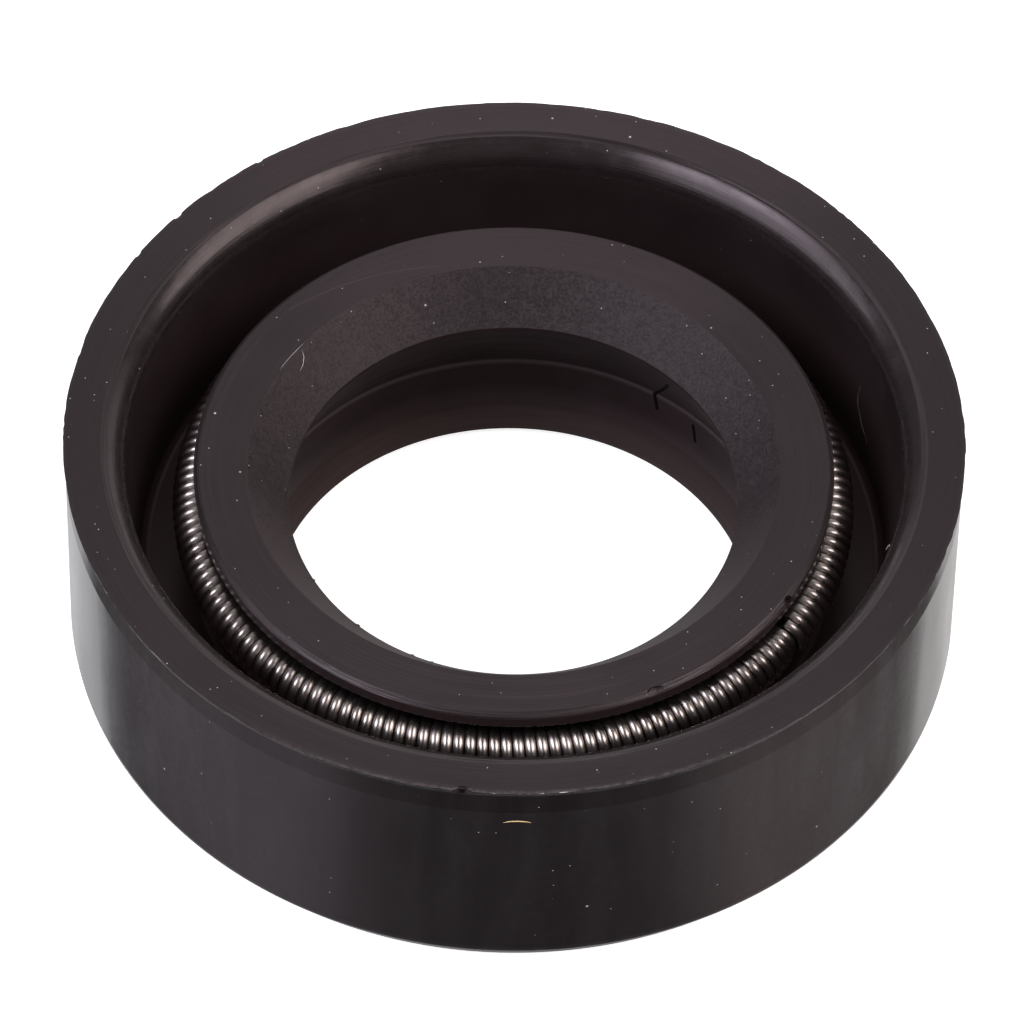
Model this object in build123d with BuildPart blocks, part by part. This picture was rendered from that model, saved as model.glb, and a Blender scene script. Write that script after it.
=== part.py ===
from build123d import *

import os
from math import cos, pi, radians, sin, tan

os.makedirs("parts", exist_ok=True)

# A rubber-covered radial shaft seal: a moulded body around a steel case, and a garter spring behind its lip.
# Every section lies in the XZ plane, X being the radius and Z the height above the back face, in millimetres.

# ---------------------------------------------------------------- what the seal fits
shaft_diameter = 12.0
radial_section = 5.0  # from the shaft out to the housing bore
seal_width = 7.0  # back face to the trimmed edge of the rim

# ---------------------------------------------------------------- cover and rim
back_chamfer_depth = 0.5
back_chamfer_height = 0.75
back_chamfer_round = 0.5  # between the chamfer and the cover
trim_overhang = 0.05  # the trimmed edge stands out past the cover
relief_depth = 0.05  # shallow neck below the trimmed edge
relief_height = 0.8
relief_waist = 0.22  # from the trimmed edge down to the narrowest part of the neck
rim_slope = 2.5  # degrees, the trimmed face's fall towards the groove
rim_bevel_width = 0.155
rim_bevel_slope = 14.5  # degrees
mouth_round = 0.87  # the groove's moulded rounding, which the bevel cuts off
mouth_round_slope = 30.0  # degrees, the rounding's slope where it is cut off

# ---------------------------------------------------------------- open groove
mouth_wall = 1.47  # wall outside the groove, at its mouth
groove_draft = 0.31  # the groove narrows by this much down to its floor
floor_height = 2.47
groove_corner = 0.2

# ---------------------------------------------------------------- sealing lip
lip_interference = 0.45  # radial, with the lip free
lip_edge_height = 4.66
contact_band = 0.1  # height of the sealing edge
oil_cone_angle = 39.3  # degrees from the axis
oil_cone_height = 1.22
face_dish = 0.08  # the trimmed face falls by this much towards the cone
air_cone_angle = 24.0  # degrees from the axis
lip_depth = 2.3  # sealing edge out to the lip's wall
lip_bevel = 0.11
lip_bevel_height = 0.16
neck_thickness = 0.95
neck_root = 0.4
jaw_overhang = 0.1  # the seat's lower jaw stands out past the lip's wall
jaw_height = 0.28

# ---------------------------------------------------------------- flange bore and dust lip
bore_clearance = 0.36  # radial, around the shaft
bore_height = 0.98
bore_top_height = 2.2
bore_fillet = 0.2
dust_lip_height = 0.2
dust_lip_heel = 0.42

# ---------------------------------------------------------------- steel case
case_thickness = 0.6
case_cover = 0.55  # rubber outside the case
case_back_cover = 0.7  # rubber behind the flange
case_rim_cover = 1.1  # rubber above the case
case_bore_cover = 0.94  # rubber inside the flange
case_bend = 0.3  # inside radius of the bend

# ---------------------------------------------------------------- garter spring
wire_diameter = 0.28
coil_diameter = 1.26
spring_inset = 0.08  # the coil's centre line lies this far inside the lip's wall
spring_drop = 0.15  # the spring's plane lies below the sealing edge, towards the air side
seat_clearance = 0.02
seat_ceiling_slope = 45.0  # degrees, the lead-in above the seat
coil_sides = 10
joint_angle = 325.0  # degrees around the axis, where the wire's two ends meet
joint_coils = 3
joint_coil_diameter = 1.14  # the coils wound down to screw into the other end

# ---------------------------------------------------------------- worked out: cover, groove and case
shaft_radius = shaft_diameter / 2
outer_radius = shaft_radius + radial_section
rim_radius = outer_radius + trim_overhang
mouth_radius = outer_radius - mouth_wall
round_radius = mouth_radius + mouth_round
round_top_radius = round_radius - mouth_round * sin(radians(mouth_round_slope))
rim_inner_radius = round_top_radius + rim_bevel_width
rim_inner_height = seal_width - (rim_radius - rim_inner_radius) * tan(radians(rim_slope))
round_top_height = rim_inner_height - rim_bevel_width * tan(radians(rim_bevel_slope))
round_height = round_top_height - mouth_round * cos(radians(mouth_round_slope))
round_middle_slope = radians((mouth_round_slope + 90) / 2)
round_middle_radius = round_radius - mouth_round * sin(round_middle_slope)
round_middle_height = round_height + mouth_round * cos(round_middle_slope)
floor_radius = mouth_radius - groove_draft

bore_radius = shaft_radius + bore_clearance
case_outer_radius = outer_radius - case_cover
case_inner_radius = case_outer_radius - case_thickness
case_flange_radius = bore_radius + case_bore_cover
case_top_height = seal_width - case_rim_cover
case_flange_height = case_back_cover + case_thickness

# ---------------------------------------------------------------- worked out: lip, spring and seat
lip_radius = shaft_radius - lip_interference
lip_wall_radius = lip_radius + lip_depth
lip_face_inner_height = lip_edge_height + oil_cone_height
lip_face_height = lip_face_inner_height + face_dish
lip_face_inner_radius = lip_radius + oil_cone_height * tan(radians(oil_cone_angle))
band_bottom_height = lip_edge_height - contact_band
bore_top_radius = lip_radius + (band_bottom_height - bore_top_height) * tan(radians(air_cone_angle))
neck_radius = bore_top_radius + neck_thickness

coil_radius = coil_diameter / 2
spring_radius = lip_wall_radius - spring_inset
spring_height = lip_edge_height - spring_drop
seat_radius = coil_radius + seat_clearance
ceiling_angle = radians(90 + seat_ceiling_slope)
ceiling_start_radius = spring_radius + seat_radius * cos(ceiling_angle)
ceiling_start_height = spring_height + seat_radius * sin(ceiling_angle)
ceiling_rise = (lip_wall_radius - ceiling_start_radius) * tan(radians(seat_ceiling_slope))
ceiling_end_height = ceiling_start_height + ceiling_rise
jaw_radius = lip_wall_radius + jaw_overhang
jaw_top_height = spring_height - (seat_radius**2 - (jaw_radius - spring_radius) ** 2) ** 0.5
jaw_bottom_height = jaw_top_height - jaw_height
neck_top_height = jaw_bottom_height - (jaw_radius - neck_radius)
neck_fillet = min(neck_root, 0.9 * (neck_top_height - floor_height))


def corner(section, radius, height):
    """The section's corner nearest to a point."""
    return section.vertices().sort_by_distance((radius, height))[0]


# ---------------------------------------------------------------- steel case: one L-shaped pressing
with BuildPart() as steel_case:
    with BuildSketch(Plane.XZ) as case_section:
        with BuildLine():
            Polyline(
                (case_flange_radius, case_back_cover),
                (case_outer_radius, case_back_cover),
                (case_outer_radius, case_top_height),
                (case_inner_radius, case_top_height),
                (case_inner_radius, case_flange_height),
                (case_flange_radius, case_flange_height),
                close=True,
            )
        make_face()
        fillet(corner(case_section, case_inner_radius, case_flange_height), case_bend)
        fillet(corner(case_section, case_outer_radius, case_back_cover), case_bend + case_thickness)
    revolve(axis=Axis.Z)
steel_case.part.label = "steel_case"

# ---------------------------------------------------------------- seal body: one rubber moulding
with BuildPart() as seal_body:
    with BuildSketch(Plane.XZ) as body_section:
        with BuildLine():
            # Back face, cover and rim, from the dust lip outwards
            cover = Polyline(
                (shaft_radius, dust_lip_height),
                (shaft_radius + dust_lip_heel, 0),
                (outer_radius - back_chamfer_depth, 0),
                (outer_radius, back_chamfer_height),
                (outer_radius, seal_width - relief_height),
                (outer_radius - relief_depth, seal_width - relief_waist),
                (rim_radius, seal_width),
                (rim_inner_radius, rim_inner_height),
                (round_top_radius, round_top_height),
            )
            mouth = ThreePointArc(
                cover @ 1,
                (round_middle_radius, round_middle_height),
                (mouth_radius, round_height),
            )
            # Groove, neck and the lower jaw of the spring's seat
            groove = Polyline(
                mouth @ 1,
                (floor_radius, floor_height),
                (neck_radius, floor_height),
                (neck_radius, neck_top_height),
                (jaw_radius, jaw_bottom_height),
                (jaw_radius, jaw_top_height),
            )
            seat = ThreePointArc(
                groove @ 1,
                (spring_radius - seat_radius, spring_height),
                (ceiling_start_radius, ceiling_start_height),
            )
            # Lip, from the seat's ceiling over the trimmed face to the sealing edge
            lip = Polyline(
                seat @ 1,
                (lip_wall_radius, ceiling_end_height),
                (lip_wall_radius, lip_face_height - lip_bevel_height),
                (lip_wall_radius - lip_bevel, lip_face_height),
                (lip_face_inner_radius, lip_face_inner_height),
                (lip_radius, lip_edge_height),
                (lip_radius, band_bottom_height),
            )
            # Air side, down to the dust lip
            Polyline(
                lip @ 1,
                (bore_top_radius, bore_top_height),
                (bore_radius, bore_height),
                cover @ 0,
            )
        make_face()
        fillet(corner(body_section, outer_radius, back_chamfer_height), back_chamfer_round)
        fillet(corner(body_section, floor_radius, floor_height), groove_corner)
        fillet(corner(body_section, neck_radius, floor_height), neck_fillet)
        fillet(corner(body_section, bore_top_radius, bore_top_height), bore_fillet)
    revolve(axis=Axis.Z)
    # The case is bonded in, so its cavity has the case's own shape
    add(steel_case.part, mode=Mode.SUBTRACT)
seal_body.part.label = "seal_body"

# ---------------------------------------------------------------- garter spring: close-wound coils in a ring
# Each coil is a crest between two valleys, half a wire deep. Two half rings of whole coils close the ring.
coils_in_half = round(pi * spring_radius / wire_diameter)
coil_angle = 180 / coils_in_half
joint_reach = joint_coils * coil_angle / 2


def coil_plane(angle):
    """The plane across the spring's ring at an angle around the axis."""
    outward = Vector(cos(radians(angle)), sin(radians(angle)), 0)
    along = Vector(-sin(radians(angle)), cos(radians(angle)), 0)
    centre = outward * spring_radius + Vector(0, 0, spring_height)
    return Plane(origin=centre, x_dir=outward, z_dir=along)


def coil_section(step):
    """The spring's section: a crest at each odd step, a valley at each even one."""
    angle = step * coil_angle / 2
    crest_radius = coil_radius
    if abs(angle - joint_angle) < joint_reach:
        crest_radius = joint_coil_diameter / 2
    with BuildSketch(coil_plane(angle)) as section:
        RegularPolygon(
            radius=crest_radius if step % 2 else coil_radius - wire_diameter / 2,
            side_count=coil_sides,
        )
    return section.sketch


first_half = [coil_section(step) for step in range(2 * coils_in_half + 1)]
second_half = [coil_section(step) for step in range(2 * coils_in_half, 4 * coils_in_half + 1)]

with BuildPart() as garter_spring:
    loft(sections=first_half, ruled=True)
    loft(sections=second_half, ruled=True)
garter_spring.part.label = "garter_spring"

export_step(seal_body.part, "parts/seal_body.step")
export_step(steel_case.part, "parts/steel_case.step")
export_step(garter_spring.part, "parts/garter_spring.step")
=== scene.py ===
"""Looks of a rubber-covered radial shaft seal: the moulded body, its garter spring and the dirt on them."""

import math

import bpy
import numpy as np
from mathutils import Matrix, Vector


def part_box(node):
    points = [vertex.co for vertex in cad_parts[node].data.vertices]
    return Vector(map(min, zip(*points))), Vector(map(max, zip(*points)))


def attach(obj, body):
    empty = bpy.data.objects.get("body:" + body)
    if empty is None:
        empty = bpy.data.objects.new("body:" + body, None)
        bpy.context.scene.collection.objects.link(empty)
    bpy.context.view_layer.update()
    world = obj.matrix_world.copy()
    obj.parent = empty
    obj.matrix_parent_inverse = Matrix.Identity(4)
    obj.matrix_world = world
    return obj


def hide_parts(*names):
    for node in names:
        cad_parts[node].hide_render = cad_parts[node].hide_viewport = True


MM = 0.001
PICTURE = 1024  # pixels along each side of the picture

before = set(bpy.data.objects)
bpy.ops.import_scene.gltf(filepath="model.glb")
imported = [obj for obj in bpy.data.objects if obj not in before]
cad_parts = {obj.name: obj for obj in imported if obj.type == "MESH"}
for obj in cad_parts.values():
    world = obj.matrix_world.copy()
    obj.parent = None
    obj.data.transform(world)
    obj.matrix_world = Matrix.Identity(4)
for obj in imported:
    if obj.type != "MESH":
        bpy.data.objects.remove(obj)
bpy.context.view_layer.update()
body_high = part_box("seal_body")[1]

# ---------------------------------------------------------------- sizes, in millimetres and radians
# Cover, from the back face up to the trimmed edge
RIM_RADIUS = body_high.x / MM
SEAL_WIDTH = body_high.z / MM
TRIM_OVERHANG = 0.05  # the trimmed edge stands out past the cover
COVER_RADIUS = RIM_RADIUS - TRIM_OVERHANG
BACK_CHAMFER_DEPTH = 0.5
BACK_CHAMFER_HEIGHT = 0.75
RELIEF_HEIGHT = 0.8  # the relief is the shallow neck below the trimmed edge
RELIEF_WAIST = 0.22  # from the trimmed edge down to its narrowest part
RELIEF_DEPTH = 0.05
RIM_FALL = math.tan(math.radians(2.5))  # how steeply the trimmed face falls towards the groove
RAGGED_BAND = 0.16  # the trimmed face's outer band, with closer rows for its ragged edge

# Mouth and groove
MOUTH_WALL = 1.47
MOUTH_RADIUS = COVER_RADIUS - MOUTH_WALL
MOUTH_ROUND = 0.87
ROUND_SLOPE = math.radians(30)  # the rounding's slope where the trimming cuts it off
ROUND_TOP_RADIUS = MOUTH_RADIUS + MOUTH_ROUND * (1 - math.sin(ROUND_SLOPE))
RIM_BEVEL_WIDTH = 0.155
RIM_BEVEL_FALL = math.tan(math.radians(14.5))
RIM_INNER_RADIUS = ROUND_TOP_RADIUS + RIM_BEVEL_WIDTH
RIM_INNER_HEIGHT = SEAL_WIDTH - (RIM_RADIUS - RIM_INNER_RADIUS) * RIM_FALL
ROUND_TOP_HEIGHT = RIM_INNER_HEIGHT - RIM_BEVEL_WIDTH * RIM_BEVEL_FALL
ROUND_HEIGHT = ROUND_TOP_HEIGHT - MOUTH_ROUND * math.cos(ROUND_SLOPE)
GROOVE_DRAFT = 0.31
FLOOR_RADIUS = MOUTH_RADIUS - GROOVE_DRAFT
FLOOR_HEIGHT = 2.47

# Sealing lip: its edge, the trimmed face above it and the cones on either side
SHAFT_RADIUS = 6.0
LIP_INTERFERENCE = 0.45
EDGE_RADIUS = SHAFT_RADIUS - LIP_INTERFERENCE
EDGE_HEIGHT = 4.66
CONTACT_BAND = 0.1
BAND_BOTTOM = EDGE_HEIGHT - CONTACT_BAND
FACE_RISE = 1.3  # from the sealing edge up to the trimmed face
FACE_HEIGHT = EDGE_HEIGHT + FACE_RISE
FACE_DISH = 0.08
FACE_INNER_HEIGHT = FACE_HEIGHT - FACE_DISH
OIL_CONE = math.radians(39.3)
FACE_INNER_RADIUS = EDGE_RADIUS + (FACE_INNER_HEIGHT - EDGE_HEIGHT) * math.tan(OIL_CONE)
LIP_DEPTH = 2.3
LIP_WALL_RADIUS = EDGE_RADIUS + LIP_DEPTH
BEVEL_INSET = 0.11  # from the lip's wall to the trimmed face
FACE_OUTER_RADIUS = LIP_WALL_RADIUS - BEVEL_INSET
LIP_BEVEL = 0.13
AIR_CONE = math.radians(24)
BORE_TOP_HEIGHT = 2.2
BORE_TOP_RADIUS = EDGE_RADIUS + (BAND_BOTTOM - BORE_TOP_HEIGHT) * math.tan(AIR_CONE)

# Flange bore and dust lip
BORE_CLEARANCE = 0.36
BORE_RADIUS = SHAFT_RADIUS + BORE_CLEARANCE
BORE_HEIGHT = 0.98
DUST_LIP_HEIGHT = 0.2
DUST_LIP_DEPTH = 0.42
DUST_LIP_HEEL = SHAFT_RADIUS + DUST_LIP_DEPTH

# Spring, its seat and the neck below it
COIL_RADIUS = 0.63
WIRE_RADIUS = 0.14
SPRING_INSET = 0.08
SPRING_DROP = 0.15
SPRING_RADIUS = LIP_WALL_RADIUS - SPRING_INSET
SPRING_HEIGHT = EDGE_HEIGHT - SPRING_DROP
SEAT_CLEARANCE = 0.02
SEAT_RADIUS = COIL_RADIUS + SEAT_CLEARANCE
NECK_THICKNESS = 0.95
NECK_RADIUS = BORE_TOP_RADIUS + NECK_THICKNESS
JAW_OVERHANG = 0.1
JAW_THICKNESS = 0.28
JAW_RADIUS = LIP_WALL_RADIUS + JAW_OVERHANG
JAW_TOP = SPRING_HEIGHT - math.sqrt(SEAT_RADIUS**2 - (JAW_RADIUS - SPRING_RADIUS) ** 2)
JAW_BOTTOM = JAW_TOP - JAW_THICKNESS
NECK_TOP = JAW_BOTTOM - (JAW_RADIUS - NECK_RADIUS)
SEAT_START = 2 * math.pi - math.acos((JAW_RADIUS - SPRING_RADIUS) / SEAT_RADIUS)
CEILING_ANGLE = math.radians(135)  # where the seat's arc runs into its straight lead-in
CEILING_START = (
    SPRING_RADIUS + SEAT_RADIUS * math.cos(CEILING_ANGLE),
    SPRING_HEIGHT + SEAT_RADIUS * math.sin(CEILING_ANGLE),
)
CEILING_END = CEILING_START[1] + LIP_WALL_RADIUS - CEILING_START[0]

# The body's grid: rows along its section, columns around the axis
COVER, RELIEF, TRIM, SHAVED, ROUND, GROOVE, GRAIN, BORE = range(8)  # finishes of the rubber
ARC_POINTS = 13  # along the seat and along the mouth's rounding
TURN_STEP = 0.42  # the most that one row turns in a rounding
GUARD = 0.02  # rows this close to a rounding keep the flat beside it flat
COLUMNS = 480  # all around
MARK_COLUMNS = 9  # and at each mark
SHARP_ANGLE = math.radians(38)  # a corner that turns more is shaded sharp


# ---------------------------------------------------------------- the body's outline
def rounding_points(before, here, after, radius):
    """The arc that rounds a corner, from its start to its end."""
    back = before - here
    ahead = after - here
    back /= np.linalg.norm(back)
    ahead /= np.linalg.norm(ahead)
    half = math.acos(np.clip(back @ ahead, -1, 1)) / 2
    middle = (back + ahead) / np.linalg.norm(back + ahead)
    centre = here + middle * radius / math.sin(half)
    start = here + back * radius / math.tan(half) - centre
    end = here + ahead * radius / math.tan(half) - centre
    turn = math.copysign(math.pi - 2 * half, start[0] * end[1] - start[1] * end[0])
    steps = max(2, math.ceil(abs(turn) / TURN_STEP))
    angles = [turn * k / steps for k in range(steps + 1)]
    return [
        centre + np.array([
            start[0] * math.cos(t) - start[1] * math.sin(t),
            start[0] * math.sin(t) + start[1] * math.cos(t),
        ])
        for t in angles
    ]


def body_corners():
    """Corners of the body's section, anticlockwise.

    Each has its radius, its height and its rounding, then the finish and the row spacing of the run that
    follows.
    """
    seat = [
        (
            SPRING_RADIUS + SEAT_RADIUS * math.cos(a),
            SPRING_HEIGHT + SEAT_RADIUS * math.sin(a),
            0, GROOVE, 1,
        )
        for a in np.linspace(SEAT_START, CEILING_ANGLE, ARC_POINTS)
    ]
    mouth = [
        (
            MOUTH_RADIUS + MOUTH_ROUND * (1 - math.sin(a)),
            ROUND_HEIGHT + MOUTH_ROUND * math.cos(a),
            0, ROUND, 1,
        )
        for a in np.linspace(ROUND_SLOPE, math.pi / 2, ARC_POINTS)[1:-1]
    ]
    return [
        (SHAFT_RADIUS, DUST_LIP_HEIGHT, 0.04, BORE, 0.4),
        (DUST_LIP_HEEL, 0, 0.08, COVER, 2),
        (COVER_RADIUS - BACK_CHAMFER_DEPTH, 0, 0.12, COVER, 0.5),
        (COVER_RADIUS, BACK_CHAMFER_HEIGHT, 0.5, COVER, 1.5),
        (COVER_RADIUS, SEAL_WIDTH - RELIEF_HEIGHT, 0.4, RELIEF, 0.2),
        (COVER_RADIUS - RELIEF_DEPTH, SEAL_WIDTH - RELIEF_WAIST, 0.15, RELIEF, 0.05),
        (RIM_RADIUS, SEAL_WIDTH, 0, TRIM, 0.04),
        (RIM_RADIUS - RAGGED_BAND, SEAL_WIDTH - RAGGED_BAND * RIM_FALL, 0, TRIM, 0.4),
        (RIM_INNER_RADIUS, RIM_INNER_HEIGHT, 0.015, SHAVED, 0.05),
        (ROUND_TOP_RADIUS, ROUND_TOP_HEIGHT, 0.02, ROUND, 1),
        *mouth,
        (MOUTH_RADIUS, ROUND_HEIGHT, 0, GROOVE, 0.9),
        (FLOOR_RADIUS, FLOOR_HEIGHT, 0.2, GROOVE, 0.8),
        (NECK_RADIUS, FLOOR_HEIGHT, 0.4, GROOVE, 0.8),
        (NECK_RADIUS, NECK_TOP, 0.15, GROOVE, 0.3),
        (JAW_RADIUS, JAW_BOTTOM, 0.08, GROOVE, 0.3),
        *seat,
        (LIP_WALL_RADIUS, CEILING_END, 0.05, GROOVE, 0.12),
        (FACE_OUTER_RADIUS + LIP_BEVEL, FACE_HEIGHT - LIP_BEVEL, 0.02, SHAVED, 0.04),
        (FACE_OUTER_RADIUS, FACE_HEIGHT, 0.015, TRIM, 0.2),
        (FACE_INNER_RADIUS, FACE_INNER_HEIGHT, 0.03, GRAIN, 0.3),
        (EDGE_RADIUS, EDGE_HEIGHT, 0.01, BORE, 0.05),
        (EDGE_RADIUS, BAND_BOTTOM, 0.03, BORE, 0.7),
        (BORE_TOP_RADIUS, BORE_TOP_HEIGHT, 0.2, BORE, 0.5),
        (BORE_RADIUS, BORE_HEIGHT, 0.12, BORE, 0.4),
    ]


def body_rows():
    """The section's rows: arrays of radius and height, and each row's finish."""
    corners = body_corners()
    places = [np.array(c[:2], float) for c in corners]
    arcs = []
    for i, (_, _, rounding, _, _) in enumerate(corners):
        if rounding:
            arcs.append(rounding_points(places[i - 1], places[i], places[(i + 1) % len(places)], rounding))
        else:
            arcs.append([places[i]])
    rows = []
    for i, arc in enumerate(arcs):
        finish_before = corners[i - 1][3]
        finish, spacing = corners[i][3:]
        rows += [(p, finish_before if k < len(arc) // 2 else finish) for k, p in enumerate(arc)]
        next_arc = arcs[(i + 1) % len(arcs)]
        run = next_arc[0] - arc[-1]
        length = np.linalg.norm(run)
        stops = list(np.linspace(0, length, max(1, round(length / spacing)) + 1)[1:-1])
        if length > 5 * GUARD:
            stops += [GUARD] * (len(arc) > 1) + [length - GUARD] * (len(next_arc) > 1)
        rows += [(arc[-1] + run * s / length, finish) for s in sorted(stops)]
    radii, heights = np.array([p for p, _ in rows]).T
    return radii, heights, [finish for _, finish in rows]


# ---------------------------------------------------------------- marks on the body
EDGE_REACH = 0.05  # how far into the section the trimmed edge's raggedness reaches
EDGE_WEAR = 0.010  # how far back the ragged edge lies on the whole
LEAST_WEAR_OUT, LEAST_WEAR_UP = 0.0055, 0.004  # and at least, so that it stays inside the solid
MARK_STEEPNESS = 1.4

# Each mark: angle in degrees, half width, radius, height, reach in the section, push outwards and upwards
MARKS = [
    # Chips in the rim's trimmed edge
    (126.3, 0.10, RIM_RADIUS, SEAL_WIDTH, 0.10, -0.028, -0.01),
    (140.5, 0.15, RIM_RADIUS, SEAL_WIDTH, 0.12, -0.036, -0.01),
    (148.8, 0.12, RIM_RADIUS, SEAL_WIDTH, 0.10, -0.026, -0.01),
    (264.4, 0.25, RIM_RADIUS, SEAL_WIDTH, 0.17, -0.11, -0.05),
    # Nicks at the lip's outer edge
    (328.9, 0.14, FACE_OUTER_RADIUS + 0.14, FACE_HEIGHT - 0.12, 0.15, -0.12, -0.12),
    (296.6, 0.22, FACE_OUTER_RADIUS + 0.08, FACE_HEIGHT - 0.04, 0.12, -0.05, -0.03),
    # Flash left on the sealing edge
    (209.4, 0.04, EDGE_RADIUS, EDGE_HEIGHT, 0.06, -0.022, 0.0),
    (228.0, 0.05, EDGE_RADIUS, EDGE_HEIGHT, 0.06, -0.026, 0.01),
    (244.7, 0.04, EDGE_RADIUS, EDGE_HEIGHT, 0.06, -0.028, 0.0),
    (250.1, 0.04, EDGE_RADIUS, EDGE_HEIGHT, 0.06, -0.020, 0.0),
]


def ring_noise(angles, knots, seed):
    """A seeded random value in -1..1 for each angle, smooth between the knots around the ring."""
    values = np.random.default_rng(seed).uniform(-1, 1, knots)
    place = angles / (2 * math.pi) * knots
    low = np.floor(place).astype(int)
    t = place - low
    t = t * t * (3 - 2 * t)
    return values[low % knots] * (1 - t) + values[(low + 1) % knots] * t


def ragged(angles, seed):
    """The trimmed edge's raggedness in millimetres: long waves with finer tearing on them, in places."""
    return (
        0.010 * ring_noise(angles, 60, seed)
        + 0.012 * ring_noise(angles, 190, seed + 1)
        + 0.018 * ring_noise(angles, 430, seed + 2) * (ring_noise(angles, 40, seed + 3) > 0.0)
    )


def column_angles():
    """Angles of the body's columns in radians, closer together at the marks."""
    angles = set(np.round(np.linspace(0, 360, COLUMNS, endpoint=False), 4))
    for angle, half_width, radius, *_ in MARKS:
        reach = math.degrees(half_width / radius)
        angles |= set(np.round(np.linspace(angle - reach, angle + reach, MARK_COLUMNS), 4))
    return np.radians(sorted(angles))


def add_marks(radii, heights, angles):
    """Moves the grid's points at the trimmed edge and at each mark."""
    edge = np.exp(-(np.hypot(radii - RIM_RADIUS, heights - SEAL_WIDTH) / EDGE_REACH) ** 2)
    radii += edge * np.minimum(ragged(angles, 3) - EDGE_WEAR, -LEAST_WEAR_OUT)
    heights += edge * np.minimum(0.5 * ragged(angles, 11) - EDGE_WEAR, -LEAST_WEAR_UP)
    for angle, half_width, radius, height, reach, push_out, push_up in MARKS:
        turn = np.remainder(angles - math.radians(angle) + math.pi, 2 * math.pi) - math.pi
        along = turn * radius / half_width
        across = np.hypot(radii - radius, heights - height) / reach
        weight = np.clip(MARK_STEEPNESS * (1 - along**2 - across**2), 0, 1)
        radii += weight * push_out
        heights += weight * push_up


# ---------------------------------------------------------------- meshes
def around_axis(radius, angle, height):
    """Points at a radius, an angle around the axis and a height."""
    return np.stack([radius * np.cos(angle), radius * np.sin(angle), height + 0 * angle], -1)


def grid_quads(rows, columns):
    """Quads between the rows of a grid, closed around its columns and from its last row to its first."""
    i, j = np.meshgrid(np.arange(rows), np.arange(columns), indexing="ij")
    i2, j2 = (i + 1) % rows, (j + 1) % columns
    corners = [i * columns + j, i * columns + j2, i2 * columns + j2, i2 * columns + j]
    return np.stack(corners, -1).reshape(-1, 4).tolist()


def tube_faces(rings, sides):
    """Quads along a tube of rings, and a cap at each end."""
    quads = grid_quads(rings, sides)[:-sides]
    first_cap = list(reversed(range(sides)))
    last_cap = list(range((rings - 1) * sides, rings * sides))
    return quads + [first_cap, last_cap]


def unit(vectors):
    return vectors / np.linalg.norm(vectors, axis=1)[:, None]


def tube_points(path, outward, side, radius, sides):
    """Rings of points around a path, in the plane of its two side vectors."""
    turn = np.linspace(0, 2 * math.pi, sides, endpoint=False)[None, :, None]
    return path[:, None] + radius * (outward[:, None] * np.cos(turn) + side[:, None] * np.sin(turn))


def new_mesh(name, points, faces, smooth_faces):
    """A mesh from points in millimetres, whose first faces are shaded smooth."""
    mesh = bpy.data.meshes.new(name)
    mesh.from_pydata((points * MM).reshape(-1, 3).tolist(), [], faces)
    mesh.polygons.foreach_set("use_smooth", np.arange(len(faces)) < smooth_faces)
    mesh.update()
    return mesh


def add_piece(name, mesh, materials):
    """Links a mesh as a piece that rides on the seal."""
    piece = bpy.data.objects.new(name, mesh)
    bpy.context.scene.collection.objects.link(piece)
    for material in materials:
        mesh.materials.append(material)
    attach(piece, "root")
    return piece


def seal_moulding(materials):
    """The rubber body, turned from its section, with its ragged edge and its marks."""
    row_radii, row_heights, finishes = body_rows()
    angles = column_angles()
    radii = np.repeat(row_radii[:, None], len(angles), 1)
    heights = np.repeat(row_heights[:, None], len(angles), 1)
    add_marks(radii, heights, angles)
    faces = grid_quads(len(finishes), len(angles))
    mesh = new_mesh("seal_moulding", around_axis(radii, angles, heights), faces, len(faces))
    mesh.polygons.foreach_set("material_index", np.repeat(finishes, len(angles)).astype(np.int32))
    mesh.set_sharp_from_angle(angle=SHARP_ANGLE)
    piece = add_piece("seal_moulding", mesh, materials)
    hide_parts("seal_body")


# ---------------------------------------------------------------- garter spring
JOINT_END = 327.7  # degrees around the axis, where the wire starts and its other end screws in
COIL_PITCH = 2.07  # degrees
FIRST_COIL = JOINT_END + 0.4 * COIL_PITCH
# Angles of the last coils before the joint, and their radius to the wire's centre
JOINT_COILS = [(321.35, 0.49), (323.45, 0.47), (324.85, 0.43), (326.55, 0.41), (328.4, 0.2), (330.3, 0.2)]
WIRE_SIDES = 14
STEPS_PER_COIL = 32


def spring_wire(material):
    """The close-wound wire: one helix around the ring, its thinner end screwed into its beginning."""
    coils = round((JOINT_COILS[0][0] + 360 - FIRST_COIL) / COIL_PITCH)
    turns = [0.0] + [coils + k for k in range(len(JOINT_COILS))]
    places = [FIRST_COIL] + [a + 360 for a, _ in JOINT_COILS]
    reaches = [COIL_RADIUS - WIRE_RADIUS] + [reach for _, reach in JOINT_COILS]
    turn = np.linspace(0, turns[-1], turns[-1] * STEPS_PER_COIL + 1)
    around = np.radians(np.interp(turn, turns, places))
    reach = np.interp(turn, turns, reaches)
    wind = math.pi / 2 - 2 * math.pi * turn
    path = around_axis(SPRING_RADIUS + reach * np.cos(wind), around, SPRING_HEIGHT + reach * np.sin(wind))
    tangent = unit(np.gradient(path, axis=0))
    outward = path - around_axis(SPRING_RADIUS, around, SPRING_HEIGHT)
    outward = unit(outward - (outward * tangent).sum(1)[:, None] * tangent)
    points = tube_points(path, outward, np.cross(tangent, outward), WIRE_RADIUS, WIRE_SIDES)
    faces = tube_faces(len(path), WIRE_SIDES)
    mesh = new_mesh("spring_wire", points, faces, len(faces) - 2)
    piece = add_piece("spring_wire", mesh, [material])
    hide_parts("garter_spring")


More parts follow.
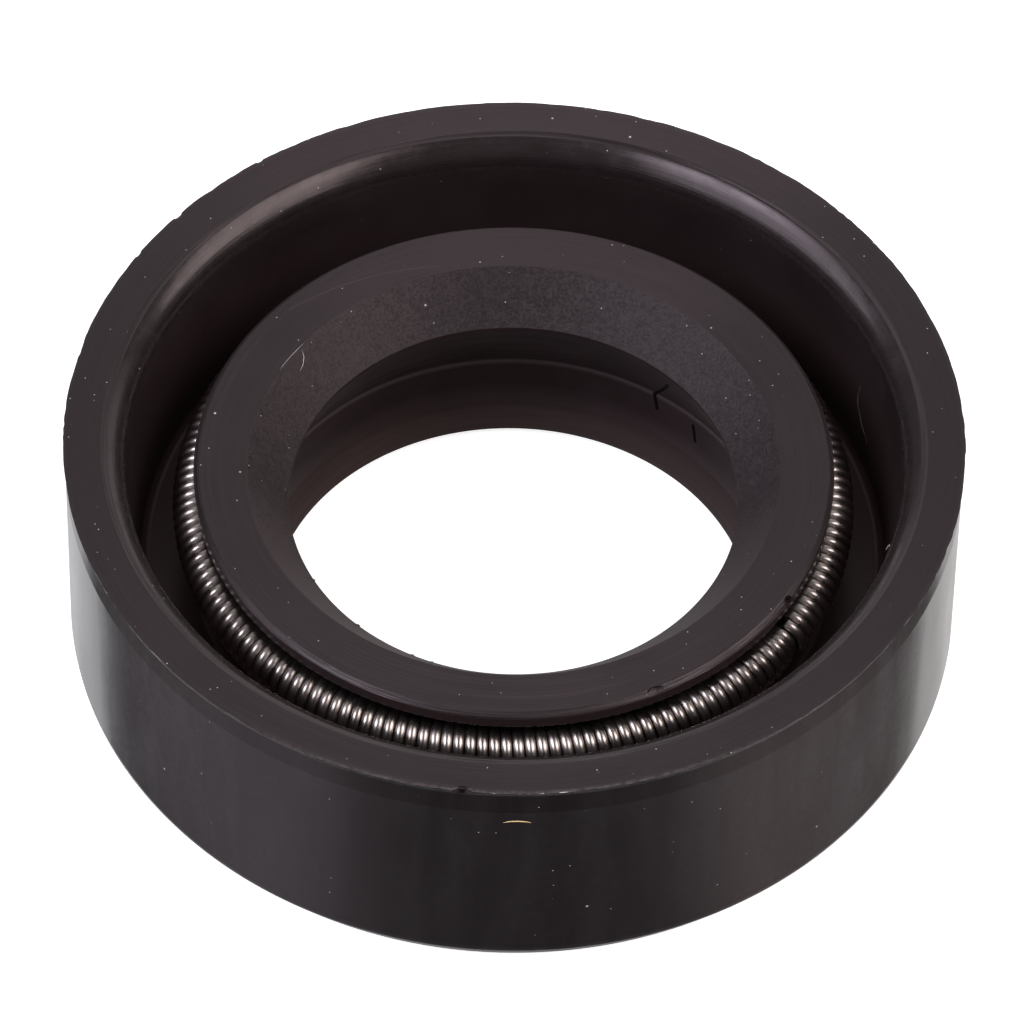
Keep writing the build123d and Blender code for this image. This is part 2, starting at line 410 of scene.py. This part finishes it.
# ---------------------------------------------------------------- lint
# Each fibre: thickness in millimetres, then its places as angle in degrees, radius and height
GOLD_FIBRES = [
    (0.030, [
        (269.5, 11.01, 5.84), (270.3, 11.01, 5.885), (271.2, 11.01, 5.90), (272.1, 11.01, 5.885),
        (272.95, 11.01, 5.84),
    ]),
]
PALE_FIBRES_AND_GLINTS = [
    # In the groove, at its mouth, and two on the oil side's cone
    (0.008, [
        (23.9, 9.40, 4.75), (24.2, 9.37, 4.32), (23.7, 9.34, 4.03), (21.5, 9.31, 3.67), (18.5, 9.29, 3.46),
    ]),
    (0.022, [(343.9, 9.45, 6.10), (344.0, 9.50, 6.24), (344.2, 9.58, 6.36), (344.3, 9.66, 6.47)]),
    (0.016, [(145.2, 6.48, 5.82), (145.75, 6.37, 5.68), (147.1, 6.29, 5.59), (149.0, 6.25, 5.54)]),
    (0.010, [(143.8, 6.53, 5.89), (146.5, 6.54, 5.89), (149.35, 6.55, 5.89), (153.0, 6.56, 5.89)]),
    # Flecks along the near side's trimmed edge: slivers of flash, painted pale as the highlight where they
    # glint
    (0.012, [(268.1, 11.035, 6.985), (268.5, 11.035, 6.985)]),
    (0.012, [(270.0, 11.035, 6.985), (270.4, 11.035, 6.985)]),
    (0.015, [(271.3, 11.035, 6.985), (271.7, 11.035, 6.985)]),
    (0.020, [(273.7, 11.035, 6.985), (274.7, 11.035, 6.985)]),
    (0.023, [(276.2, 11.035, 6.985), (277.5, 11.035, 6.985)]),
]
FIBRE_SIDES = 6
STEPS_PER_PLACE = 5


def lint(name, fibres, material):
    """Thin fibres that lie on the seal, as one piece of tapered tubes."""
    points, faces = [], []
    for thickness, places in fibres:
        steps = np.linspace(0, len(places) - 1, STEPS_PER_PLACE * len(places))
        angle, radius, height = [np.interp(steps, range(len(places)), values) for values in zip(*places)]
        angle = np.radians(angle)
        path = around_axis(radius, angle, height)
        tangent = unit(np.gradient(path, axis=0))
        aside = unit(np.cross(tangent, around_axis(1, angle, 0.5)))
        swell = np.sqrt(np.clip(np.sin(np.linspace(0, math.pi, len(steps))), 0.02, 1))
        half_thickness = (0.5 * thickness * swell)[:, None, None]
        first = len(points)
        tube = tube_points(path, aside, np.cross(aside, tangent), half_thickness, FIBRE_SIDES)
        points += tube.reshape(-1, 3).tolist()
        faces += [[first + k for k in face] for face in tube_faces(len(steps), FIBRE_SIDES)]
    mesh = new_mesh(name, np.array(points), faces, len(faces))
    add_piece(name, mesh, [material])


# ---------------------------------------------------------------- colours
SHINE_TINT = (1.0, 0.84, 0.88, 1.0)  # the rubber's shine is a little red
DUST = (0.50, 0.46, 0.44)
COVER_BASE, COVER_SCUFF = (0.0042, 0.0032, 0.0036), (0.016, 0.0125, 0.0135)
# the relief's colours are painted darker, as shade below the trimmed edge's overhang
RELIEF_SHADED_BASE, RELIEF_SHADED_SCUFF = (0.0032, 0.0020, 0.0020), (0.008, 0.0058, 0.0058)
CUT_DARK, CUT_PALE = (0.0145, 0.0108, 0.0118), (0.0272, 0.0202, 0.0222)
CUT_LIP_LINE = (0.0110, 0.0083, 0.0091)
CUT_BROAD_LINE = (0.0125, 0.0093, 0.0103)
CUT_SCRATCH = (0.0520, 0.0420, 0.0400)
CUT_CLOUD = (0.0270, 0.0203, 0.0218)
# painted sheen on the far side, painted shade at the sides and on the rim's near side
CUT_FAR_SHEEN = (0.0360, 0.0270, 0.0290)
CUT_SIDE_SHADE = (0.0095, 0.0070, 0.0078)
CUT_NEAR_SHADE = (0.0120, 0.0085, 0.0092)
# the outer edge's wear, with a painted highlight
CUT_WORN_LIT = (0.075, 0.064, 0.066)
SHAVED_DARK, SHAVED_PALE = (0.0110, 0.0082, 0.0088), (0.0290, 0.0225, 0.0235)
ROUND_DARK, ROUND_PALE = (0.0095, 0.0066, 0.0070), (0.0125, 0.0088, 0.0092)
GROOVE_DARK, GROOVE_PALE = (0.0112, 0.0073, 0.0077), (0.0146, 0.0098, 0.0105)
# painted light deep in the groove, over the rubber's red-brown tone
GROOVE_DEEP_PAINTED_LIGHT = (0.0530, 0.0325, 0.0325)
GROOVE_FLOOR_PAINTED_LIGHT = (0.0900, 0.0540, 0.0520)
GROOVE_LIP_WALL_PAINTED_LIGHT = (0.0330, 0.0205, 0.0210)
GRAIN_DARK, GRAIN_PALE = (0.0142, 0.0110, 0.0119), (0.0330, 0.0254, 0.0272)
GRAIN_CLOUD = (0.0150, 0.0118, 0.0130)
# painted sheen on the near side of the cone
GRAIN_NEAR_SHEEN = (0.0640, 0.0510, 0.0520)
BORE_DARK, BORE_PALE = (0.0132, 0.0074, 0.0076), (0.0182, 0.0106, 0.0110)
BORE_LOW = (0.0560, 0.0395, 0.0390)
# painted highlight on the ridge's rounding
BORE_RIDGE_HIGHLIGHT = (0.0560, 0.0420, 0.0420)
TORN = (0.0025, 0.0011, 0.0011)
# the pale lint colour also paints the glints of the flash flecks on the trimmed edge
GOLD_LINT, PALE_LINT_AND_GLINTS = (0.72, 0.52, 0.26), (0.45, 0.42, 0.41)
WIRE_DARK, WIRE_PALE = (0.33, 0.285, 0.27), (0.42, 0.375, 0.36)
SHEET_DARK, SHEET_PALE = (0.42, 0.42, 0.43), (0.52, 0.52, 0.53)


# ---------------------------------------------------------------- materials
class Graph:
    """A material's nodes, with short calls for their arithmetic."""

    def __init__(self, name):
        self.material = bpy.data.materials.new(name)
        self.material.use_nodes = True
        self.tree = self.material.node_tree
        self.shader = self.tree.nodes["Principled BSDF"]

    def link(self, socket, value):
        """Sets a socket to a number, a colour or another node's output."""
        if isinstance(value, bpy.types.NodeSocket):
            self.tree.links.new(value, socket)
        elif isinstance(value, (tuple, list)) and len(value) == 3 and len(socket.default_value) == 4:
            socket.default_value = (*value, 1.0)
        else:
            socket.default_value = value

    def node(self, kind, inputs=None, **settings):
        made = self.tree.nodes.new(kind)
        for key, value in settings.items():
            setattr(made, key, value)
        for key, value in (inputs or {}).items():
            self.link(made.inputs[key], value)
        return made

    def math(self, operation, *values):
        made = self.node("ShaderNodeMath", dict(enumerate(values)), operation=operation)
        return made.outputs[0]

    def length(self, x, y):
        """The length of the vector (x, y)."""
        return self.math("SQRT", self.math("ADD", self.math("MULTIPLY", x, x), self.math("MULTIPLY", y, y)))

    def mix(self, share, low, high):
        """The first colour where the share is 0, the second where it is 1."""
        made = self.node("ShaderNodeMix", {0: share, 6: low, 7: high}, data_type="RGBA")
        return made.outputs[2]

    def ramp(self, value, low, high, to_low=0.0, to_high=1.0):
        """Runs from to_low to to_high as the value goes from low to high, and stays there beyond."""
        made = self.node("ShaderNodeMapRange", {0: value, 1: low, 2: high, 3: to_low, 4: to_high})
        return made.outputs[0]

    def noise(self, vector, scale, detail=2.0, roughness=0.5):
        inputs = {"Vector": vector, "Scale": scale, "Detail": detail, "Roughness": roughness}
        return self.node("ShaderNodeTexNoise", inputs).outputs[0]

    def place(self):
        """The point in millimetres, its radius, its height, and its direction's cosine and sine."""
        point = self.node("ShaderNodeTexCoord").outputs["Object"]
        point = self.node("ShaderNodeVectorMath", {0: point, 3: 1 / MM}, operation="SCALE").outputs[0]
        x, y, z = self.node("ShaderNodeSeparateXYZ", {0: point}).outputs[:3]
        radius = self.length(x, y)
        return point, radius, z, self.math("DIVIDE", x, radius), self.math("DIVIDE", y, radius)

    def around(self, cosine, sine, across, fineness_around, fineness_across):
        """A place for noise that is stretched around the axis or across it, as the two finenesses say."""
        x = self.math("MULTIPLY", cosine, fineness_around)
        y = self.math("MULTIPLY", sine, fineness_around)
        z = self.math("MULTIPLY", across, fineness_across)
        return self.node("ShaderNodeCombineXYZ", {0: x, 1: y, 2: z}).outputs[0]

    def ring_lines(self, cosine, sine, across, fineness):
        """Fine lines that run around the axis."""
        return self.noise(self.around(cosine, sine, across, 1.5, fineness), 1.0, 3.0, 0.6)

    def specks(self, point, spacing, size, share):
        """A mask of small dust specks: 1 on a speck, at a share of the cells."""
        cells = self.node("ShaderNodeTexVoronoi", {"Vector": point, "Scale": 1 / spacing})
        dice = self.node("ShaderNodeSeparateXYZ", {0: cells.outputs["Color"]}).outputs[0]
        chosen = self.math("LESS_THAN", dice, share)
        near = self.ramp(cells.outputs["Distance"], size / spacing, 0.4 * size / spacing)
        return self.math("MULTIPLY", near, chosen)

    def dusty(self, colour, point, spacing, share, strength=1.0):
        """Fine and coarser specks of dust over a colour."""
        pale = tuple(strength * c for c in DUST)
        colour = self.mix(self.specks(point, spacing, 0.020, share), colour, pale)
        return self.mix(self.specks(point, 2.6 * spacing, 0.038, 0.5 * share), colour, pale)

    def stroke(self, x, y, first, last):
        """How far the point (x, y) is from the stroke between two places."""
        run = (last[0] - first[0], last[1] - first[1])
        square = run[0] ** 2 + run[1] ** 2
        dx = self.math("SUBTRACT", x, first[0])
        dy = self.math("SUBTRACT", y, first[1])
        along_x = self.math("MULTIPLY", dx, run[0] / square)
        along_y = self.math("MULTIPLY", dy, run[1] / square)
        along = self.math("ADD", along_x, along_y)
        along = self.math("MINIMUM", self.math("MAXIMUM", along, 0.0), 1.0)
        dx = self.math("SUBTRACT", dx, self.math("MULTIPLY", along, run[0]))
        dy = self.math("SUBTRACT", dy, self.math("MULTIPLY", along, run[1]))
        return self.length(dx, dy)

    def bump(self, height, distance):
        """A normal for a height map that is a distance in millimetres high."""
        inputs = {"Height": height, "Distance": distance * MM, "Strength": 1.0}
        return self.node("ShaderNodeBump", inputs).outputs[0]

    def brush(self, amount, turn):
        """Stretches the shine across fine lines that run around the axis, or along them where turn is 0."""
        self.shader.inputs["Anisotropic"].default_value = amount
        self.shader.inputs["Anisotropic Rotation"].default_value = turn
        around = self.node("ShaderNodeTangent", direction_type="RADIAL", axis="Z")
        self.link(self.shader.inputs["Tangent"], around.outputs[0])

    def finish(self, colour, roughness, specular, normal=None, metallic=0.0):
        """Joins everything to the shader and gives the finished material."""
        self.link(self.shader.inputs["Base Color"], colour)
        self.link(self.shader.inputs["Roughness"], roughness)
        self.shader.inputs["Specular IOR Level"].default_value = specular
        self.shader.inputs["Metallic"].default_value = metallic
        if normal is not None:
            self.link(self.shader.inputs["Normal"], normal)
        return self.material

    def rubber(self, colour, roughness, specular, normal=None):
        self.shader.inputs["Specular Tint"].default_value = SHINE_TINT
        return self.finish(colour, roughness, specular, normal)


def shades(colour):
    """A colour a fifth darker and a fifth paler."""
    return tuple(0.8 * c for c in colour), tuple(1.2 * c for c in colour)


def cover_rubber(name, base, scuffed, specular):
    """Smooth moulded rubber with fine upright scuffs, glossier where it is seen at a glancing angle."""
    g = Graph(name)
    point, _, height, cosine, sine = g.place()
    cloud = g.noise(point, 0.35, 3.0)
    scuff = g.noise(g.around(cosine, sine, height, 60.0, 4.0), 1.0, 3.0, 0.6)
    grain = g.noise(point, 9.0, 3.0, 0.6)
    colour = g.mix(g.ramp(cloud, 0.35, 0.65), *shades(base))
    colour = g.mix(g.ramp(scuff, 0.62, 0.80, 0.0, 0.30), colour, scuffed)
    colour = g.dusty(colour, point, 0.36, 0.3)
    streak = g.noise(g.around(cosine, sine, height, 14.0, 0.25), 1.0)
    rough = g.math("ADD", g.ramp(scuff, 0.3, 0.8, 0.44, 0.52), g.ramp(cloud, 0.3, 0.7, -0.03, 0.04))
    rough = g.math("ADD", rough, g.ramp(streak, 0.35, 0.65, -0.03, 0.05))
    facing = g.node("ShaderNodeLayerWeight", {"Blend": 0.5}).outputs["Facing"]
    rough = g.math("MULTIPLY", rough, g.ramp(facing, 0.705, 0.79, 1.0, 0.28))
    height_map = g.math("ADD", g.math("MULTIPLY", scuff, 0.4), g.math("MULTIPLY", grain, 0.6))
    g.brush(1.0, 0.25)
    return g.rubber(colour, rough, specular, g.bump(height_map, 0.003))


LIP_SIDE = (8.6, 8.2)  # radii outside and inside which the cut face is the rim's and the lip's
SCRATCH = (106.7, 6.76, 139.0, 7.48)  # on the lip's face: angle and radius of its ends
SCRATCH_WIDTH = (0.024, 0.008)  # how far from its middle the scratch begins and is at its palest
WORN_LIT_BAND = (RIM_RADIUS - 0.13, RIM_RADIUS - 0.03)  # radii between which the outer edge's wear and its painted highlight set in
WORN_LIT_HEIGHTS = (SEAL_WIDTH - 0.06, SEAL_WIDTH - 0.04)  # and heights


def trim_rubber():
    """Cut rubber: fine lines around the axis, left by the trimming knife, an outer edge paled by wear and a
    painted highlight, and painted sheen and shade by the side of the seal.
    """
    g = Graph("trim_rubber")
    point, radius, height, cosine, sine = g.place()
    fine = g.ring_lines(cosine, sine, radius, 22.0)
    broad = g.ring_lines(cosine, sine, radius, 5.0)
    cloud = g.noise(point, 0.5, 3.0)
    colour = g.mix(g.ramp(fine, 0.32, 0.68), CUT_DARK, CUT_PALE)
    on_lip = g.ramp(radius, *LIP_SIDE)
    lip_lines = g.ramp(g.ring_lines(cosine, sine, radius, 12.0), 0.38, 0.62, 0.0, 0.45)
    colour = g.mix(g.math("MULTIPLY", on_lip, lip_lines), colour, CUT_LIP_LINE)
    colour = g.mix(g.ramp(broad, 0.35, 0.7, 0.0, 0.5), colour, CUT_BROAD_LINE)
    # The scratch lies on a flat map: way around at the face's inner radius, and radius
    way_around = g.math("MULTIPLY", g.math("ARCTAN2", sine, cosine), FACE_INNER_RADIUS)
    ends = [math.radians(a) * FACE_INNER_RADIUS for a in (SCRATCH[0], SCRATCH[2])]
    away = g.stroke(way_around, radius, (ends[0], SCRATCH[1]), (ends[1], SCRATCH[3]))
    colour = g.mix(g.ramp(away, *SCRATCH_WIDTH, 0.0, 0.6), colour, CUT_SCRATCH)
    colour = g.mix(g.ramp(cloud, 0.4, 0.7, 0.0, 0.4), colour, CUT_CLOUD)
    # Painted sheen makes the cut faces paler on the far side, and painted shade darker on either side and
    # on the rim's near side
    colour = g.mix(g.ramp(sine, 0.5, 1.0, 0.0, 0.45), colour, CUT_FAR_SHEEN)
    aside = g.ramp(g.math("ABSOLUTE", cosine), 0.55, 1.0)
    aside = g.math("MULTIPLY", aside, g.ramp(on_lip, 0.0, 1.0, 0.75, 0.35))
    colour = g.mix(aside, colour, CUT_SIDE_SHADE)
    near_rim_shade = g.ramp(sine, -0.5, -0.9, 0.0, 0.35)
    near_rim_shade = g.math("MULTIPLY", near_rim_shade, g.ramp(on_lip, 0.0, 1.0, 1.0, 0.0))
    colour = g.mix(near_rim_shade, colour, CUT_NEAR_SHADE)
    # Paler outer edge: some wear, with a painted highlight that is strongest on the near side
    worn_lit = g.ramp(radius, *WORN_LIT_BAND)
    worn_lit = g.math("MULTIPLY", worn_lit, g.ramp(g.noise(point, 6.0), 0.35, 0.65, 0.2, 1.0))
    worn_lit = g.math("MULTIPLY", worn_lit, g.ramp(height, *WORN_LIT_HEIGHTS))
    worn_lit = g.math("MULTIPLY", worn_lit, g.ramp(sine, -0.80, -0.97, 0.12, 0.9))
    colour = g.mix(worn_lit, colour, CUT_WORN_LIT)
    colour = g.dusty(colour, point, 0.26, 0.5)
    return g.rubber(colour, g.ramp(fine, 0.3, 0.7, 0.52, 0.42), 0.32, g.bump(fine, 0.010))


def shaved_rubber():
    """The narrow cut bands beside the mouth and around the lip, glossy, with lines around the axis."""
    g = Graph("shaved_rubber")
    _, radius, height, cosine, sine = g.place()
    lines = g.ring_lines(cosine, sine, g.math("SUBTRACT", radius, height), 13.0)
    colour = g.mix(g.ramp(lines, 0.35, 0.65), SHAVED_DARK, SHAVED_PALE)
    return g.rubber(colour, g.ramp(lines, 0.35, 0.65, 0.24, 0.42), 0.42, g.bump(lines, 0.035))


def round_rubber():
    """The moulded rounding of the mouth, finely scratched around the axis."""
    g = Graph("round_rubber")
    point, _, height, cosine, sine = g.place()
    lines = g.ring_lines(cosine, sine, height, 22.0)
    patches = g.noise(point, 1.6, 3.0, 0.6)
    cloud = g.noise(point, 0.6, 3.0)
    colour = g.mix(g.ramp(cloud, 0.35, 0.65), ROUND_DARK, ROUND_PALE)
    colour = g.dusty(colour, point, 0.30, 0.4)
    rough = g.math("ADD", g.ramp(lines, 0.3, 0.7, 0.17, 0.27), g.ramp(patches, 0.35, 0.7, -0.02, 0.12))
    return g.rubber(colour, rough, 0.42, g.bump(lines, 0.005))


WALL_HEIGHTS = (5.6, 3.2)  # heights between which the groove's walls turn paler with painted light
FLOOR_HEIGHTS = (2.9, 2.6)  # and between which its floor begins, painted paler still
LIP_WALL_RADII = (8.1, 7.95)  # radii between which the lip's own wall begins
LIP_WALL_HEIGHTS = (5.2, 5.4)  # and heights


def groove_rubber():
    """The groove's glossy moulded walls, with painted light that makes them paler towards its floor, on its
    floor and on the lip's own wall.
    """
    g = Graph("groove_rubber")
    point, radius, height, _, sine = g.place()
    cloud = g.noise(point, 0.6, 3.0)
    colour = g.mix(g.ramp(cloud, 0.35, 0.65), GROOVE_DARK, GROOVE_PALE)
    # painted light: paler down the walls, less so on the far side
    deep_lit = g.ramp(height, *WALL_HEIGHTS, 0.0, 0.85)
    deep_lit = g.math("MULTIPLY", deep_lit, g.ramp(sine, 0.7, 1.0, 1.0, 0.42))
    colour = g.mix(deep_lit, colour, GROOVE_DEEP_PAINTED_LIGHT)
    # painted light on the floor and on the lip's own wall
    colour = g.mix(g.ramp(height, *FLOOR_HEIGHTS), colour, GROOVE_FLOOR_PAINTED_LIGHT)
    lip_wall_lit = g.math("MULTIPLY", g.ramp(radius, *LIP_WALL_RADII), g.ramp(height, *LIP_WALL_HEIGHTS))
    colour = g.mix(lip_wall_lit, colour, GROOVE_LIP_WALL_PAINTED_LIGHT)
    colour = g.dusty(colour, point, 0.34, 0.4, 0.4)
    return g.rubber(colour, g.ramp(cloud, 0.3, 0.7, 0.27, 0.34), 0.22)


def grain_rubber():
    """The oil side's cone, with the fine grain of its eroded mould, paler on the near side with a painted
    sheen where it is seen at a glancing angle.
    """
    g = Graph("grain_rubber")
    point, _, _, _, sine = g.place()
    grain = g.noise(point, 14.0, 2.0, 0.6)
    coarse = g.noise(point, 4.5, 2.0, 0.6)
    cloud = g.noise(point, 0.5, 3.0)
    mixed = g.math("ADD", g.math("MULTIPLY", grain, 0.7), g.math("MULTIPLY", coarse, 0.3))
    colour = g.mix(g.ramp(mixed, 0.38, 0.62), GRAIN_DARK, GRAIN_PALE)
    colour = g.mix(g.ramp(cloud, 0.4, 0.7, 0.0, 0.3), colour, GRAIN_CLOUD)
    # painted sheen, paler towards the near side
    colour = g.mix(g.ramp(sine, -0.05, -0.55, 0.0, 0.6), colour, GRAIN_NEAR_SHEEN)
    colour = g.dusty(colour, point, 0.30, 0.45)
    return g.rubber(colour, 0.55, 0.2, g.bump(mixed, 0.018))


# Fine tears in the bore: angle and height of each stroke's ends
TEARS = [
    (49.5, 3.84, 53.6, 3.0), (53.6, 3.0, 57.8, 2.17), (57.8, 2.17, 56.6, 1.78),
    (46.6, 1.92, 45.2, 1.53),
]
TEAR_WIDTH = (0.07, 0.035)  # how far from its middle a tear begins and is at its darkest
LOW_PALE_HEIGHTS = (1.5, 0.3)  # heights between which the bore turns paler towards the bottom
RIDGE_REACH = (0.14, 0.02)  # how far from its middle the ridge's painted highlight begins and is at its palest
CONE_HEIGHTS = (2.1, 2.4)  # heights between which the cone's duller surface begins


def bore_rubber():
    """The air side's smooth cone, the ridge below it with a painted highlight, and the bore down to the
    dust lip, paler towards the bottom.
    """
    g = Graph("bore_rubber")
    point, _, height, cosine, sine = g.place()
    lines = g.ring_lines(cosine, sine, height, 7.0)
    cloud = g.noise(point, 0.7, 3.0)
    colour = g.mix(g.ramp(cloud, 0.35, 0.65), BORE_DARK, BORE_PALE)
    low = g.math("MULTIPLY", g.ramp(height, *LOW_PALE_HEIGHTS), g.ramp(lines, 0.3, 0.7, 0.6, 1.0))
    colour = g.mix(low, colour, BORE_LOW)
    # painted highlight along the ridge
    ridge = g.ramp(g.math("ABSOLUTE", g.math("SUBTRACT", height, BORE_TOP_HEIGHT)), *RIDGE_REACH)
    colour = g.mix(g.math("MULTIPLY", ridge, 0.8), colour, BORE_RIDGE_HIGHLIGHT)
    rough = g.math("ADD", g.ramp(lines, 0.3, 0.7, -0.05, 0.05), g.ramp(height, *CONE_HEIGHTS, 0.41, 0.64))
    way_around = g.math("MULTIPLY", g.math("ARCTAN2", sine, cosine), BORE_TOP_RADIUS)
    for first_angle, first_height, last_angle, last_height in TEARS:
        ends = [math.radians(a) * BORE_TOP_RADIUS for a in (first_angle, last_angle)]
        away = g.stroke(way_around, height, (ends[0], first_height), (ends[1], last_height))
        torn = g.ramp(away, *TEAR_WIDTH)
        colour = g.mix(torn, colour, TORN)
        rough = g.math("MAXIMUM", rough, torn)
    return g.rubber(colour, rough, 0.06, g.bump(lines, 0.006))


def lint_fibre(name, colour):
    """A fibre's dull material."""
    g = Graph(name)
    cloud = g.noise(g.place()[0], 8.0)
    return g.finish(g.mix(cloud, *shades(colour)), 0.5, 0.4)


def spring_steel():
    """Drawn spring wire under a film of oil."""
    g = Graph("spring_wire_steel")
    cloud = g.noise(g.place()[0], 1.2, 2.0)
    colour = g.mix(g.ramp(cloud, 0.35, 0.65), WIRE_DARK, WIRE_PALE)
    return g.finish(colour, g.ramp(cloud, 0.3, 0.7, 0.24, 0.31), 0.5, metallic=1.0)


def case_steel():
    """Bare pressed sheet, hidden inside the rubber."""
    g = Graph("case_sheet_steel")
    cloud = g.noise(g.place()[0], 1.5, 3.0)
    colour = g.mix(cloud, SHEET_DARK, SHEET_PALE)
    return g.finish(colour, g.ramp(cloud, 0.3, 0.7, 0.35, 0.5), 0.5, metallic=1.0)


# ---------------------------------------------------------------- floor, lights and camera
WHITE = (1, 1, 1, 1)
FLOOR_HALF = 1.5  # metres
FLOOR_DROP = 0.00001  # metres: the floor lies just below the seal
FLOOR_COLOUR = (0.62, 0.62, 0.62)
FLOOR_GLOW = 0.8  # how much of the floor's white the camera sees whatever falls on it
FRONT_SHINE = 0.05  # the same for reflections of the floor before the seal
SIDE_SHINE = 0.55  # the same for reflections of the floor on either side: a painted glow that stands in for the light nearer the lamps
SIDE_START, SIDE_END = 0.40, 0.62  # the direction's cosine where the side's shine sets in and is full


def add_floor():
    """A pale floor that shows white, keeps the seal's shadow and glows in reflections, painted brighter on
    either side.
    """
    mesh = bpy.data.meshes.new("floor")
    signs = [(-1, -1), (1, -1), (1, 1), (-1, 1)]
    corners = [(FLOOR_HALF * x, FLOOR_HALF * y, -FLOOR_DROP) for x, y in signs]
    mesh.from_pydata(corners, [], [(0, 1, 2, 3)])
    floor = bpy.data.objects.new("floor", mesh)
    bpy.context.scene.collection.objects.link(floor)
    g = Graph("floor_paper")
    g.finish(FLOOR_COLOUR, 0.9, 0.0)
    cosine = g.place()[3]
    # painted glow in reflections, weak before the seal and strong on either side
    shine = g.ramp(g.math("ABSOLUTE", cosine), SIDE_START, SIDE_END, FRONT_SHINE, SIDE_SHINE)
    rays = g.node("ShaderNodeLightPath").outputs
    mirrored = g.math("MAXIMUM", rays["Is Glossy Ray"], rays["Is Transmission Ray"])
    seen = g.math("MULTIPLY", rays["Is Camera Ray"], FLOOR_GLOW)
    g.shader.inputs["Emission Color"].default_value = WHITE
    g.link(g.shader.inputs["Emission Strength"], g.math("ADD", seen, g.math("MULTIPLY", mirrored, shine)))
    mesh.materials.append(g.material)


WORLD_LIGHT = 0.245


def light_world():
    """Even light from all round, behind a white background."""
    world = bpy.data.worlds.new("studio")
    world.use_nodes = True
    bpy.context.scene.world = world
    nodes, links = world.node_tree.nodes, world.node_tree.links
    background = nodes["Background"]
    rays = nodes.new("ShaderNodeLightPath")
    strength = nodes.new("ShaderNodeMapRange")
    strength.inputs[3].default_value = WORLD_LIGHT
    strength.inputs[4].default_value = 1.0
    links.new(rays.outputs["Is Camera Ray"], strength.inputs[0])
    links.new(strength.outputs[0], background.inputs["Strength"])
    background.inputs["Color"].default_value = WHITE


COOL, WARM, PLAIN = (0.90, 0.91, 1.0), (1.0, 0.94, 0.90), (1.0, 0.98, 0.97)
# Each softbox as the seal sees it: azimuths and elevations of its sides in degrees, radiance and colour
SOFTBOXES = [
    ("left_softbox", 170, 235, 8, 62, 3.1, COOL),
    ("left_core", 190, 228, 38, 64, 4.8, COOL),
    ("right_softbox", 316, 370, 8, 62, 3.9, WARM),
    ("right_core", 316, 344, 38, 64, 1.7, WARM),
    ("back_low_softbox", 30, 124, 4, 32, 0.85, PLAIN),
    ("back_high_softbox", 36, 140, 32, 72, 0.35, PLAIN),
]
LIGHT_DISTANCE = 0.35  # metres


def add_softbox(name, first, last, low, high, radiance, colour):
    """An upright rectangle of light that faces the seal's axis."""
    middle = math.radians((first + last) / 2)
    half = math.radians((last - first) / 2)
    bottom = LIGHT_DISTANCE * math.tan(math.radians(low))
    top = LIGHT_DISTANCE * math.tan(math.radians(high))
    away = Vector((math.cos(middle), math.sin(middle), 0))
    light = bpy.data.lights.new(name, "AREA")
    light.shape = "RECTANGLE"
    light.size = 2 * LIGHT_DISTANCE * math.tan(half)
    light.size_y = top - bottom
    light.energy = radiance * math.pi * light.size * light.size_y
    light.color = colour
    lamp = bpy.data.objects.new(name, light)
    lamp.location = away * LIGHT_DISTANCE + Vector((0, 0, (bottom + top) / 2))
    lamp.rotation_mode = "QUATERNION"
    lamp.rotation_quaternion = away.to_track_quat("Z", "Y")
    lamp.visible_camera = False
    bpy.context.scene.collection.objects.link(lamp)


CAMERA_DISTANCE = 0.221  # metres, from the middle of the rim
CAMERA_ELEVATION = 49.9  # degrees
CAMERA_ROLL = 1.107  # degrees
CAMERA_LENS = 317.7  # millimetres
SENSOR = 36.0  # millimetres
AIM_PIXEL = (514.6, 437.1)  # where the middle of the rim shows


def add_camera():
    """The camera of the picture, on the seal's -Y side."""
    data = bpy.data.cameras.new("camera")
    data.sensor_width = SENSOR
    data.lens = CAMERA_LENS
    data.clip_start = 0.01
    data.clip_end = 10
    camera = bpy.data.objects.new("camera", data)
    focal_pixels = CAMERA_LENS / SENSOR * PICTURE
    aim_x = (AIM_PIXEL[0] - PICTURE / 2) / focal_pixels
    aim_y = (PICTURE / 2 - AIM_PIXEL[1]) / focal_pixels
    aside = Vector((aim_x, aim_y, -1)).normalized().rotation_difference(Vector((0, 0, -1))).to_matrix()
    turn = Matrix.Rotation(math.radians(90 - CAMERA_ELEVATION), 3, "X")
    back = turn @ Vector((0, 0, 1))
    facing = turn @ Matrix.Rotation(math.radians(CAMERA_ROLL), 3, "Z") @ aside
    place = Vector((0, 0, SEAL_WIDTH * MM)) + back * CAMERA_DISTANCE
    camera.matrix_world = Matrix.Translation(place) @ facing.to_4x4()
    bpy.context.scene.collection.objects.link(camera)
    bpy.context.scene.camera = camera


# ---------------------------------------------------------------- the scene
bpy.context.scene.view_settings.view_transform = "Standard"
add_camera()
# In the order of the finishes
seal_moulding([
    cover_rubber("cover_rubber", COVER_BASE, COVER_SCUFF, 0.29),
    # the relief is painted darker, as shade below the trimmed edge
    cover_rubber("relief_shaded_rubber", RELIEF_SHADED_BASE, RELIEF_SHADED_SCUFF, 0.25),
    trim_rubber(),
    shaved_rubber(),
    round_rubber(),
    groove_rubber(),
    grain_rubber(),
    bore_rubber(),
])
spring_wire(spring_steel())
lint("gold_fibre", GOLD_FIBRES, lint_fibre("gold_lint", GOLD_LINT))
lint("pale_fibres_and_glints", PALE_FIBRES_AND_GLINTS, lint_fibre("pale_lint_and_glints", PALE_LINT_AND_GLINTS))
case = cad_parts["steel_case"]
case.data.materials.clear()
case.data.materials.append(case_steel())
add_floor()
light_world()
for box in SOFTBOXES:
    add_softbox(*box)
